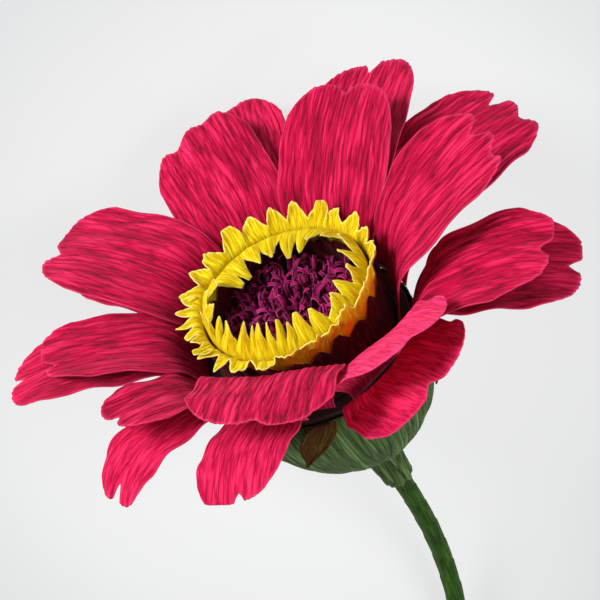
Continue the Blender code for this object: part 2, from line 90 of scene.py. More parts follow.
# Slopes that the teeth were bent to, in degrees, at places round the drum: 90 stands up, 180 lies inwards
INNER_LEANS = [
    (0, 122), (30, 165), (60, 200), (125, 200), (160, 140),
    (190, 122), (240, 150), (310, 147), (340, 128), (360, 122),
]
OUTER_LEANS = [(0, 62), (45, 56), (120, 52), (165, 32), (215, 28), (250, 54), (300, 74), (330, 76), (360, 62)]
UPRIGHT = [(0, 90), (360, 90)]

Tree = bpy.types.NodeTree
Socket = bpy.types.NodeSocket
Piece = bpy.types.Object
Grown = tuple[Vector, float, float]


class Slot(Enum):
    """The record's material slots for sheets of paper; the strips name theirs, but no sheet is put in one here.
    """

    CRIMSON = "crimson_crepe"
    YELLOW = "yellow_crepe"
    MAROON = "maroon_crepe"
    PURPLE = "purple_crepe"
    GREEN = "green_crepe"
    BROWN = "brown_crepe"
    STEM = "stem_paper"


def smooth(value: float) -> float:
    """Eases from 0 to 1 with level ends."""
    value = min(max(value, 0.0), 1.0)
    return value * value * (3 - 2 * value)


def eased(places: list[tuple[float, float]], wanted: float) -> float:
    """The value at a place, eased between the (place, value) pairs on its two sides."""
    for (start, before), (end, after) in zip(places, places[1:]):
        if wanted <= end:
            return before + (after - before) * smooth((wanted - start) / (end - start))
    return places[-1][1]


def around(angle: float, radius: float, height: float) -> Vector:
    """A point at this angle round the flower's axis, in radians."""
    return Vector((radius * math.cos(angle), radius * math.sin(angle), height))


def linear(colour: str) -> tuple[float, float, float, float]:
    """Turns sRGB hex digits, such as "C81E50", to linear red, green and blue and an alpha of 1."""
    shares = [int(colour[i : i + 2], 16) / 255 for i in (0, 2, 4)]
    red, green, blue = (s / 12.92 if s <= 0.04045 else ((s + 0.055) / 1.055) ** 2.4 for s in shares)
    return red, green, blue, 1.0


def wrinkle(across: float, along: float, seed: float, width: float = 1.0, length: float = 8.0) -> float:
    """The crepe's wrinkles: rounded ridges along the grain, with sharp valleys between them.

    Args:
        across: Place across the grain, in millimetres.
        along: Place along the grain, in millimetres.
        seed: Which part of the roll the sheet was cut from.
        width: How far apart the ridges are, in millimetres.
        length: How far one ridge runs, in millimetres.

    Returns:
        The height, from 0 in a valley to about 1 on a ridge.
    """
    wander = 0.6 * noise.noise(Vector((across / 5, along / 7, seed + 31)))
    coarse = abs(noise.noise(Vector((across / width + wander, along / length, seed))))
    fine = abs(noise.noise(Vector((across / width * 2.3 + wander, along / length * 1.9, seed + 7))))
    return min(1.0, 1.7 * (0.7 * coarse**0.6 + 0.3 * fine))


@dataclass
class Strip:
    """The side view of a bent strip: it leaves (radius, height) and passes through the given slopes."""

    radius: float
    height: float
    length: float
    slopes: list[tuple[float, float]]
    steps: int = 80

    def __post_init__(self) -> None:
        """Walks along the strip once, so that places on it can be looked up."""
        self.radii = [self.radius]
        self.heights = [self.height]
        step = self.length / self.steps
        for i in range(self.steps):
            slope = self.slope((i + 0.5) / self.steps)
            self.radii.append(self.radii[-1] + step * math.cos(slope))
            self.heights.append(self.heights[-1] + step * math.sin(slope))

    def slope(self, share: float) -> float:
        """The slope in radians at this share of the length."""
        return math.radians(eased(self.slopes, share))

    def at(self, distance: float) -> tuple[float, float, float]:
        """Radius, height and slope at this distance along the strip."""
        place = min(max(distance / self.length, 0.0), 1.0) * self.steps
        index = min(int(place), self.steps - 1)
        part = place - index
        radius = self.radii[index] + (self.radii[index + 1] - self.radii[index]) * part
        height = self.heights[index] + (self.heights[index + 1] - self.heights[index]) * part
        return radius, height, self.slope(place / self.steps)


def add_node(tree: Tree, kind: str, **given: object) -> bpy.types.Node:
    """Adds a shader node.

    Args:
        tree: The material's node tree.
        kind: The node's type after "ShaderNode", such as "TexNoise".
        given: The node's own properties by their lower-case names, and its inputs by their names, with _
            for a space, or by i and their number. An input takes a socket to link, or a value.

    Returns:
        The node.
    """
    node = tree.nodes.new("ShaderNode" + kind)
    for name, value in given.items():
        numbered = name[0] == "i" and name[1:].isdigit()
        if name.islower() and not numbered:
            setattr(node, name, value)
            continue
        socket = node.inputs[int(name[1:]) if numbered else name.replace("_", " ")]
        if isinstance(value, Socket):
            tree.links.new(value, socket)
        else:
            socket.default_value = value
    return node


def ramp(tree: Tree, share: Socket, stops: list[tuple[float, str]]) -> Socket:
    """A colour that changes with a share, through hex colours at places from 0 to 1."""
    node = add_node(tree, "ValToRGB", Fac=share)
    points = node.color_ramp.elements
    while len(points) < len(stops):
        points.new(0.5)
    for point, (place, colour) in zip(points, stops):
        point.position = place
        point.color = linear(colour)
    return node.outputs["Color"]


def weighted(tree: Tree, terms: list[tuple[Socket, float]], start: float = 0.0) -> Socket:
    """A weighted sum of sockets, on top of a start."""
    total: object = start
    for socket, weight in terms:
        total = add_node(tree, "Math", operation="MULTIPLY_ADD", i0=socket, i1=weight, i2=total).outputs[0]
    return total


@dataclass(frozen=True)
class CrepePaper:
    """Crepe paper: thin tissue, creped on a drum, so it is matt, wrinkled along one direction and fuzzy.

    Its wrinkles are painted: painted highlight in the crest colour along their crests, painted shade in the
    valley colour in their valleys, and the pale rim colour, also a painted highlight, on the cut edges and the
    brightest crests. Glow tints the light that comes through. A stain goes from none to full between each of
    its pairs of places on the flat sheet, in millimetres.
    """

    name: str
    valley: str
    body: str
    crest_highlight: str
    rim: str
    glow: tuple[float, float, float]
    roughness: float = 0.8
    rim_share: float = 0.5
    stain: str = ""
    stain_height: tuple[float, float] = (0.0, 0.0)
    stain_from: tuple[float, float] = (0.0, 0.0)
    stain_until: tuple[float, float] = (0.0, 0.0)
    crease_mm: float = 0.5
    crease_length_mm: float = 6.0
    crease_share: float = 0.1
    fibre_mm: float = 0.12

    def build(self) -> bpy.types.Material:
        """The node material, which reads the sheet's UV map in millimetres, its relief and its rim."""
        made = bpy.data.materials.new(self.name)
        made.use_nodes = True
        tree = made.node_tree
        shader = tree.nodes["Principled BSDF"]
        for name, value in {
            "Roughness": self.roughness, "Sheen Weight": 0.03, "Sheen Roughness": 0.4,
            "Specular IOR Level": 0.12, "Subsurface Weight": 0.4, "Subsurface Radius": self.glow,
            "Subsurface Scale": 0.4 * MM,
        }.items():
            shader.inputs[name].default_value = value
        uv = add_node(tree, "UVMap", uv_map="UVMap").outputs["UV"]
        relief = add_node(tree, "Attribute", attribute_name="relief").outputs["Fac"]
        rim = add_node(tree, "Attribute", attribute_name="rim").outputs["Fac"]
        scale = (1 / self.crease_mm, 1 / self.crease_length_mm, 1.0)
        grain = add_node(tree, "Mapping", Vector=uv, Scale=scale).outputs["Vector"]
        streak = add_node(tree, "TexNoise", Vector=grain, Scale=1.0, Detail=2.0, Roughness=0.6).outputs["Fac"]
        swing = weighted(tree, [(streak, 1.0)], -0.5)
        swing = add_node(tree, "Math", operation="ABSOLUTE", i0=swing).outputs[0]
        crease = add_node(
            tree, "MapRange", Value=swing, From_Min=0.0, From_Max=self.crease_share
        ).outputs["Result"]
        fuzz = add_node(tree, "TexNoise", Vector=uv, Scale=1 / self.fibre_mm, Detail=2.0).outputs[0]
        mottle = add_node(tree, "TexNoise", Vector=uv, Scale=0.12, Detail=2.0).outputs["Fac"]
        # Relief and crease are painted shade in the valleys and creases and painted highlight on the crests;
        # fuzz and mottle are the paper's own uneven tone
        level = weighted(tree, [(relief, 0.5), (crease, 0.3), (fuzz, 0.3), (mottle, 0.14)], -0.23)
        stops = [(0.08, self.valley), (0.5, self.body), (0.86, self.crest_highlight), (1.0, self.rim)]
        colour = ramp(tree, level, stops)
        if self.stain:
            colour = self.stained(tree, colour, uv, streak)
        # The rim colour along the cut edges is a painted highlight
        share = weighted(tree, [(rim, self.rim_share)])
        colour = self.over(tree, share, colour, self.rim)
        tree.links.new(colour, shader.inputs["Base Color"])
        coarse = add_node(
            tree, "Bump", Height=crease, Strength=0.8, Distance=0.2 * self.crease_mm * MM
        ).outputs["Normal"]
        fine = add_node(
            tree, "Bump", Height=fuzz, Strength=0.4, Distance=0.05 * MM, Normal=coarse
        ).outputs["Normal"]
        tree.links.new(fine, shader.inputs["Normal"])
        return made

    def stained(self, tree: Tree, colour: Socket, uv: Socket, streak: Socket) -> Socket:
        """The colour with the stain over it, whose upper edge runs up and down along the wrinkles."""
        place = add_node(tree, "SeparateXYZ", Vector=uv).outputs
        height = weighted(tree, [(place["Y"], 1.0), (streak, 5.0)], -2.5)
        share: object = 1.0
        for value, (none, full) in (
            (height, self.stain_height), (place["X"], self.stain_from), (place["X"], self.stain_until)
        ):
            part = add_node(tree, "MapRange", Value=value, From_Min=none, From_Max=full).outputs["Result"]
            share = add_node(tree, "Math", operation="MULTIPLY", i0=share, i1=part).outputs[0]
        return self.over(tree, share, colour, self.stain)

    @staticmethod
    def over(tree: Tree, share: Socket, colour: Socket, second: str) -> Socket:
        """A share of a hex colour laid over the colour."""
        return add_node(tree, "Mix", data_type="RGBA", i0=share, i6=colour, i7=linear(second)).outputs[2]


@dataclass(frozen=True)
class PlainSolid:
    """A hidden solid with little to show: pressed paper, or drawn wire with fine lengthwise marks."""

    name: str
    dark: str
    light: str
    roughness: float
    metallic: float
    grain_mm: float

    def build(self) -> bpy.types.Material:
        """The node material, on Object coordinates."""
        made = bpy.data.materials.new(self.name)
        made.use_nodes = True
        tree = made.node_tree
        shader = tree.nodes["Principled BSDF"]
        shader.inputs["Roughness"].default_value = self.roughness
        shader.inputs["Metallic"].default_value = self.metallic
        place = add_node(tree, "TexCoord").outputs["Object"]
        grain = add_node(
            tree, "TexNoise", Vector=place, Scale=1 / (self.grain_mm * MM), Detail=3.0
        ).outputs["Fac"]
        tree.links.new(ramp(tree, grain, [(0.3, self.dark), (0.7, self.light)]), shader.inputs["Base Color"])
        bump = add_node(tree, "Bump", Height=grain, Strength=0.4, Distance=0.08 * MM).outputs[0]
        tree.links.new(bump, shader.inputs["Normal"])
        return made


# The petals: heavy crimson crepe, with painted pink highlight along its crests and painted wine-red shade in
# its long, fine creases
CRIMSON = CrepePaper(
    "crimson_crepe_paper", "6C001C", "C00640", "EE2C64", "FF4C84", (1.0, 0.12, 0.2),
    rim_share=0.4, crease_mm=0.8, crease_length_mm=11.0, crease_share=0.08,
)
# The inner teeth: fine lemon crepe, with painted golden shade in its creases and a painted pale highlight on
# its snipped edge
LEMON = ("C89204", "E8D00A", "F4E840", "F8EC84")
YELLOW = CrepePaper("yellow_crepe_paper", *LEMON, (1.0, 0.7, 0.1), rim_share=0.7)
# The outer teeth: the same crepe, with an orange dye that has crept up from the base on the side to the front
STAINED = CrepePaper(
    "stained_yellow_crepe_paper", *LEMON, (1.0, 0.7, 0.1), rim_share=0.75,
    stain="FF8C12", stain_height=(7.8, 5.4), stain_from=(54.0, 64.0), stain_until=(103.0, 99.0),
)
# The drum's strips: near-black maroon crepe, with painted red highlight on the crests
MAROON = CrepePaper(
    "maroon_crepe_paper", "220006", "460210", "740A24", "4C0412", (1.0, 0.1, 0.2), crease_mm=0.6
)
# The middle: magenta-purple crepe cut to ribbons, with painted shade between them and painted highlight on the
# curled ends
PURPLE = CrepePaper(
    "purple_crepe_paper", "1C0010", "C01070", "FA389C", "FA6CB4", (1.0, 0.1, 0.4), rim_share=0.4
)
# The calyx and its sleeve: olive-green crepe, gathered into long pleats, with painted shade in the folds
GREEN = CrepePaper(
    "green_crepe_paper", "16220C", "445A2E", "6C8652", "647C48", (0.4, 1.0, 0.2),
    crease_mm=0.75, crease_length_mm=16.0, crease_share=0.1,
)
# The sepals: brown crepe, with painted olive highlight on its wrinkles' crests
BROWN = CrepePaper("brown_crepe_paper", "300E04", "4E320E", "605C20", "6A501E", (1.0, 0.6, 0.2))
# The stem: waxed green paper tape, smoother and a little glossier than the crepe
STEM_PAPER = CrepePaper(
    "green_stem_tape", "122802", "2C4E0C", "4A7020", "4A7020", (0.4, 1.0, 0.2),
    roughness=0.6, crease_length_mm=9.0,
)
# The hidden core: pressed paper, coloured near-black as painted shade, so that nothing pale shows between the
# petals
CORE_PAPER = PlainSolid("pressed_core_paper", "1C0508", "300A10", 0.9, 0.0, 0.6)
# The wire: bare drawn steel, seen only at the stem's cut end
WIRE = PlainSolid("drawn_florist_wire", "6E6E6E", "9A9A9A", 0.35, 1.0, 0.2)


def pick(piece: Piece | None = None) -> None:
    """Selects this piece alone and makes it active, or selects nothing."""
    bpy.ops.object.select_all(action="DESELECT")
    if piece:
        bpy.context.view_layer.objects.active = piece
        piece.select_set(True)


def apply_modifier(piece: Piece, kind: str, **settings: object) -> None:
    """Adds a modifier with its settings and applies it."""
    pick(piece)
    modifier = piece.modifiers.new(kind.title(), kind)
    for name, value in settings.items():
        setattr(modifier, name, value)
    bpy.ops.object.modifier_apply(modifier=modifier.name)


@dataclass
class Workbench:
    """Where sheets are cut, bent and handed to the frame."""

    head: Matrix
    materials: dict[str, bpy.types.Material] = field(default_factory=dict)
    triangles: int = 0

    def material(self, finish: CrepePaper | PlainSolid) -> bpy.types.Material:
        """The finish's material, built once."""
        if finish.name not in self.materials:
            self.materials[finish.name] = finish.build()
        return self.materials[finish.name]

    def sheet(
        self, name: str, columns: int, rows: int, grow: Callable[[float, float], Grown],
        flat: tuple[float, float], ring: bool = False, thickness: float = CREPE_THICKNESS,
    ) -> Piece:
        """Cuts a flat grid, bends it, closes it if it is a ring, and gives it the paper's thickness.

        Args:
            name: The piece's name.
            columns: Faces across.
            rows: Faces along.
            grow: Gives the point, relief and rim for a place across (-1 to 1) and along (0 to 1).
            flat: Width and length of the flat sheet in millimetres, for its UV map.
            ring: Whether the two sides meet.
            thickness: The paper's thickness in metres.

        Returns:
            The sheet, in the frame.
        """
        pick()
        bpy.ops.mesh.primitive_grid_add(x_subdivisions=columns, y_subdivisions=rows, size=2)
        piece = bpy.context.object
        piece.name = name
        mesh = piece.data
        mesh.name = name
        relief = mesh.attributes.new("relief", "FLOAT", "POINT")
        rim = mesh.attributes.new("rim", "FLOAT", "POINT")
        for corner in mesh.vertices:
            point, height, edge = grow(corner.co.x, (corner.co.y + 1) / 2)
            relief.data[corner.index].value = height
            rim.data[corner.index].value = edge
            corner.co = self.head @ point
        for loop in mesh.uv_layers.active.data:
            loop.uv = (loop.uv.x * flat[0], loop.uv.y * flat[1])
        if ring:
            self.close(piece)
        apply_modifier(piece, "SOLIDIFY", thickness=thickness, offset=0.0)
        pick(piece)
        bpy.ops.object.shade_smooth()
        return piece

    @staticmethod
    def close(piece: Piece) -> None:
        """Merges the two sides of a sheet that goes all the way round."""
        pick(piece)
        bpy.ops.object.mode_set(mode="EDIT")
        bpy.ops.mesh.select_all(action="SELECT")
        bpy.ops.mesh.remove_doubles(threshold=MM / 500)
        bpy.ops.mesh.normals_make_consistent(inside=False)
        bpy.ops.object.mode_set(mode="OBJECT")

    def hand_over(self, piece: Piece, finish: CrepePaper, node: str) -> None:
        """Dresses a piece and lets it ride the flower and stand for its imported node."""
        piece.data.materials.clear()
        piece.data.materials.append(self.material(finish))
        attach(piece, BODY)
        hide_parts(node)
        triangles = sum(len(face.vertices) - 2 for face in piece.data.polygons)
        self.triangles += triangles
        log.info("%s: %d triangles, %d so far", piece.name, triangles, self.triangles)


@dataclass
class Petal:
    """One petal: where it points, how far the crepe was stretched, how it was bent, and its tip."""

    place: str
    direction: float
    stretch: float
    spread: float
    rise: float
    droop: float
    twist: float = 0.0
    cup: float = 0.0
    skew: float = 0.0
    layer: int = 0
    wrap: float = 1.0
    neck: float = 0.5
    start: float = 76
    upright: float = 0.15
    bend_at: float = 0.5
    notches: list[tuple[float, float, float]] = field(default_factory=list)
    smoothed_and_highlighted: float = 0.0
    ridge: float = 0.36 * MM
    swell: float = 0.7 * MM
    ruffle: float = 0.35 * MM
    crepe_width_mm: float = 1.35
    crepe_length_mm: float = 14.0
    seed: float = 0.0

    def strip(self) -> Strip:
        """The petal's middle line, seen from the side."""
        slopes = [(0, self.start), (self.upright, self.start), (self.bend_at, self.rise), (1, self.droop)]
        radius = PETAL_BASE_RADIUS + self.layer * LAYER_STEP
        return Strip(radius, -PETAL_BASE_DEPTH, self.stretch * PETAL_LENGTH, slopes)

    def tip(self, across: float) -> float:
        """The share of the length that the petal has at this place across it, from -1 to 1."""
        edge = 1 - PETAL_CORNER * abs(across) ** PETAL_CORNER_POWER + self.skew * across
        for place, depth, width in self.notches:
            edge -= depth * math.exp(-(((across - place) / width) ** 2))
        return edge

    def point(self, strip: Strip, across: float, along: float, lifted: float) -> Vector:
        """The point across the petal and along it, lifted off its middle by this much."""
        share = along * self.tip(across)
        radius, height, slope = strip.at(share * strip.length)
        full = self.spread * PETAL_WIDTH
        sideways = across * full / 2 * (self.neck + (1 - self.neck) * smooth(share / PETAL_NECK_END))
        lift = self.cup * PETAL_WIDTH * (2 * sideways / full) ** 2 * smooth(share * 1.5)
        lift += sideways * math.tan(math.radians(self.twist)) * smooth(share / PETAL_TWIST_END)
        lift += lifted - self.layer * LAYER_SPREAD * smooth(share * 2)
        radius -= lift * math.sin(slope)
        height += lift * math.cos(slope)
        hug = self.wrap * (1 - smooth(share / PETAL_FLAT_FROM))
        turn = sideways / max(radius, PETAL_BASE_RADIUS)
        outward = radius * (1 - hug * (1 - math.cos(turn)))
        along_rim = hug * radius * math.sin(turn) + (1 - hug) * sideways
        facing = math.radians(self.direction)
        return Vector(
            (
                outward * math.cos(facing) - along_rim * math.sin(facing),
                outward * math.sin(facing) + along_rim * math.cos(facing),
                height,
            )
        )

    def middle(self, rows: int = 6, columns: int = 12) -> Vector:
        """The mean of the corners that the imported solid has."""
        strip = self.strip()
        points = [
            self.point(strip, 2 * column / columns - 1, row / rows, 0.0)
            for row in range(rows + 1)
            for column in range(columns + 1)
        ]
        return sum(points, Vector()) / len(points)

    def build(self, bench: Workbench, layer_name: str) -> None:
        """Cuts the petal, stretches its edge, and lays the crepe's wrinkles along it."""
        strip = self.strip()
        waves = 2 + self.seed % 3
        length = self.stretch * PETAL_LENGTH / MM
        width = self.spread * PETAL_WIDTH / MM

        def grow(across: float, along: float) -> Grown:
            share = along * self.tip(across)
            height = wrinkle(
                across * width / 2, share * length, self.seed, self.crepe_width_mm, self.crepe_length_mm
            )
            # Smoothing lifts the relief towards the crest colour: a flatter sheet and a painted highlight
            height += (1.4 - height) * self.smoothed_and_highlighted
            swell = noise.noise(Vector((across * 1.3, share * 2.2, self.seed + 50)))
            edge = abs(across) ** 3 * smooth(share * 2.5)
            frill = math.sin(share * math.tau * waves + self.seed * 1.7 + across)
            lifted = self.ridge * (height - MEAN_RELIEF) * smooth(share * 3)
            lifted += self.swell * swell * smooth(share * 2) + self.ruffle * frill * edge
            rag = 1 + 0.008 * noise.noise(Vector((across * width, self.seed, 3.0)))
            # rim: a painted pale highlight along the petal's sides and tip
            rim = smooth(max(abs(across) - 0.965, along - 0.975) / 0.03)
            return self.point(strip, across, along * rag, lifted), height, rim

        name = f"petal_{layer_name}_{self.place}"
        piece = bench.sheet(name, *PETAL_FACES[layer_name], grow, (width, length))
        bench.hand_over(piece, CRIMSON, name)


INNER_PETALS = [
    Petal(
        "right", -9, 1.0, 0.875, 42, 24, twist=9, cup=0.08, skew=-0.04,
        notches=[(0.25, 0.08, 0.15), (-0.35, 0.06, 0.2)],
    ),
    Petal("top", 45, 0.88, 1.04, 42, 20, twist=-8, cup=0.08, skew=0.03, notches=[(0.1, 0.05, 0.12)]),
    Petal(
        "upleft", 93, 0.975, 0.92, 20, 6, twist=-6, cup=-0.04, skew=-0.04, layer=1, start=74,
        notches=[(0.35, 0.07, 0.2), (-0.3, 0.04, 0.2)],
    ),
    Petal("left", 135, 1.035, 1.0, 15, -5, twist=8, cup=0.04, skew=-0.04, notches=[(0.2, 0.06, 0.15)]),
    Petal(
        "lowleft", 168, 0.86, 0.75, 20, 1, twist=10, cup=0.04, skew=-0.06, layer=3, neck=0.64,
        notches=[(0.2, 0.06, 0.15)],
    ),
    Petal(
        "botleft", 203, 0.7, 0.64, 34, 18, twist=8, cup=0.04, layer=2, start=68, upright=0.3, neck=0.68,
        notches=[(0, 0.06, 0.15)],
    ),
    Petal(
        "bottom", 245.5, 0.72, 1.1, 26, 13, twist=-4, cup=0.04, skew=0.05, wrap=0, neck=0.51, start=84,
        upright=0.35, notches=[(0, 0.05, 0.15)],
    ),
    Petal(
        "front", 295, 0.65, 0.96, 37, 30, twist=-6, layer=1, wrap=0, neck=0.55, start=71, upright=0.37,
        notches=[(0, 0.05, 0.15)], smoothed_and_highlighted=0.8, ridge=0.5 * MM,
    ),
    Petal(
        "rightlow", 329.5, 0.905, 0.75, 25.5, -4, twist=8, cup=0.04, skew=0.06, layer=3, start=66,
        notches=[(0.1, 0.06, 0.15)],
    ),
]
OUTER_PETALS = [
    Petal(
        "right", 19, 1.11, 1.08, 6, -11, twist=3, layer=4, start=66,
        notches=[(0.25, 0.08, 0.1), (-0.35, 0.06, 0.2)],
    ),
    Petal(
        "top", 49, 1.095, 1.0, 14, 1, twist=-10, cup=0.04, skew=0.02, layer=3, start=66,
        notches=[(0.1, 0.06, 0.1)],
    ),
    Petal("upleft", 84, 1.05, 0.92, 9, 1, twist=-10, layer=5, start=66, notches=[(0.35, 0.06, 0.2)]),
    Petal("left", 130, 0.88, 0.83, 7, -8, layer=3, start=66),
    Petal("lowleft", 168, 1.0, 0.79, 13, -13, twist=8, layer=4, start=66, notches=[(0, 0.06, 0.1)]),
    Petal(
        "botleft", 208, 0.905, 0.5, 16, -48, layer=4, start=66, neck=0.75, smoothed_and_highlighted=0.3,
        notches=[(0, 0.1, 0.1)],
    ),
    Petal(
        "bottom", 238, 0.73, 0.75, 20, -34, twist=15, skew=-0.1, layer=3, start=66, smoothed_and_highlighted=0.3,
        notches=[(0, 0.06, 0.1)],
    ),
    Petal(
        "front", 293, 0.54, 1.05, 23, 10, twist=10, layer=4, start=68, upright=0.22, smoothed_and_highlighted=0.45,
        notches=[(0, 0.08, 0.12)],
    ),
    Petal(
        "rightlow", 335, 0.94, 0.83, 2, -22, twist=6, cup=0.04, skew=0.02, layer=5, start=66,
        notches=[(0, 0.06, 0.1)],
    ),
]
PETALS = {"inner": INNER_PETALS, "outer": OUTER_PETALS}


@dataclass
class Tooth:
    """One snipped tooth: where it starts and ends round the drum, in turns, and how fingers left it."""

    start: float
    end: float
    reach: float
    apex: float
    swing: float
    blade: float
    strip: Strip


@dataclass
class ToothedStrip:
    """A long strip of crepe, snipped to teeth along one edge and wrapped round the drum."""

    name: str
    radius: float
    base_depth: float
    tooth: float
    valley: float
    bend: tuple[float, float]
    leans: list[tuple[float, float]]
    finish: CrepePaper
    slot: Slot
    lean_spread: float = 11.0
    length_spread: float = 0.09
    width_spread: float = 0.16
    cup: float = 0.9 * MM
    swing: float = 0.9 * MM
    crinkle: float = 0.13 * MM
    frill: float = 0.15 * MM
    convex: float = 1.5
    fringed: tuple[float, float] = (0.0, 0.0)
    fringe_share: float = 0.45
    crepe_width_mm: float = 0.55
    crepe_length_mm: float = 5.0
    nick: float = 0.28 * MM
    blade: float = 1.1 * MM
    columns: int = 720
    rows: int = 20
    seed: int = 1

    def snip(self) -> list[Tooth]:
        """Cuts the teeth one after the other, narrower where the strip was fringed."""
        draw = random.Random(self.seed)
        teeth = []
        start = 0.0
        while start < 1.0:
            degrees = 360 * start
            fringed = self.fringed[0] <= degrees <= self.fringed[1]
            share = self.fringe_share if fringed else 1.0
            width = share * (1 + draw.uniform(-self.width_spread, self.width_spread)) / TEETH
            end = start + width if start + 1.5 * width < 1.0 else 1.0
            lean = eased(self.leans, 180 * (start + end))
            lean += draw.uniform(-self.lean_spread, self.lean_spread) * (1.3 if fringed else 1.0)
            reach = self.tooth * (1 + draw.uniform(-self.length_spread, self.length_spread))
            slopes = [(0, 90), (self.bend[0], 90), (self.bend[1], lean), (1, lean + draw.uniform(-14, 10))]
            strip = Strip(self.radius, -self.base_depth, self.tooth, slopes)
            apex = 0.5 + draw.uniform(-0.16, 0.16)
            teeth.append(
                Tooth(start, end, reach, apex, self.swing * draw.uniform(-1, 1), draw.uniform(-1, 1), strip)
            )
            start = end
        return teeth

    def build(self, bench: Workbench) -> None:
        """Bends each tooth by itself and crinkles the sheet along its grain."""
        teeth = self.snip()
        plain = {}

        def grow(across: float, along: float) -> Grown:
            turn = (across + 1) / 2
            angle = math.tau * turn
            tooth = next((tooth for tooth in teeth if turn < tooth.end), teeth[-1])
            part = (turn - tooth.start) / (tooth.end - tooth.start)
            rise = part / tooth.apex if part < tooth.apex else (1 - part) / (1 - tooth.apex)
            rise = max(0.0, rise)
            peak = 1 - (1 - rise) ** self.convex
            around_mm = angle * self.radius / MM
            far = along * self.tooth / MM
            relief = wrinkle(around_mm, far, self.seed, self.crepe_width_mm, self.crepe_length_mm)
            nick = noise.noise(Vector((around_mm * 2.2, self.seed, 1.0)))
            top = self.valley + (tooth.reach - self.valley) * peak + self.nick * nick * min(1.0, 3 * rise)
            distance = along * top
            column = round(turn * self.columns)
            if column not in plain:
                lean = eased(self.leans, 360 * turn)
                slopes = [(0, 90), (self.bend[0], 90), (self.bend[1], lean), (1, lean)]
                plain[column] = Strip(self.radius, -self.base_depth, self.tooth, slopes, 24)
            free = smooth((distance - self.valley * 0.7) / (self.tooth - self.valley) * 0.9)
            free *= min(1.0, 4 * rise)
            own = tooth.strip.at(distance)
            shared = plain[column].at(distance)
            reach, level, slope = (mine * free + yours * (1 - free) for mine, yours in zip(own, shared))
            curl = self.cup * free * (1 - 4 * (part - 0.5) ** 2)
            blade = (part - 0.5) * tooth.blade * self.blade * free
            wave = noise.noise(Vector((around_mm / 0.9, along, self.seed + 21)))
            lift = blade - curl + self.crinkle * (relief - MEAN_RELIEF) + self.frill * wave * free * 2
            angle += tooth.swing * free / self.radius
            spot = around(angle, reach - lift * math.sin(slope), level + lift * math.cos(slope))
            # A painted pale highlight along the teeth's cut edges
            edge = max(along - 0.94, (0.08 - rise) * free * 0.3) / 0.05
            return spot, relief, smooth(edge)

        flat = (math.tau * self.radius / MM, self.tooth / MM)
        piece = bench.sheet(self.name, self.columns, self.rows, grow, flat, ring=True, thickness=0.2 * MM)
        bench.hand_over(piece, self.finish, self.name)


DRUM_STRIP = {
    "bend": (0.50, 0.75), "leans": UPRIGHT, "finish": MAROON, "slot": Slot.MAROON,
    "lean_spread": 2.0, "swing": 0.2 * MM, "cup": 0.1 * MM, "convex": 1.0,
}
STRIPS = [
    ToothedStrip(
        "florets_inner", INNER_STRIP_RADIUS, FLORET_BASE_DEPTH, 13.0 * MM, 9.0 * MM, (0.40, 0.72),
        INNER_LEANS, YELLOW, Slot.YELLOW, fringed=(172, 256), seed=3,
    ),
    ToothedStrip(
        "florets_outer", OUTER_STRIP_RADIUS, FLORET_BASE_DEPTH, 11.6 * MM, 8.3 * MM, (0.50, 0.75),
        OUTER_LEANS, STAINED, Slot.YELLOW, fringed=(135, 215), fringe_share=0.55, lean_spread=15.0,
        frill=0.4 * MM, seed=8,
    ),
    ToothedStrip(
        "drum_wrap", WRAP_RADIUS, PETAL_BASE_DEPTH, 12.4 * MM, 10.2 * MM, **DRUM_STRIP,
        columns=480, rows=12, seed=12,
    ),
    ToothedStrip(
        "drum_lining", LINING_RADIUS, MIDDLE_BASE_DEPTH, 8.4 * MM, 6.6 * MM, **DRUM_STRIP,
        columns=360, rows=10, seed=15,
    ),
]


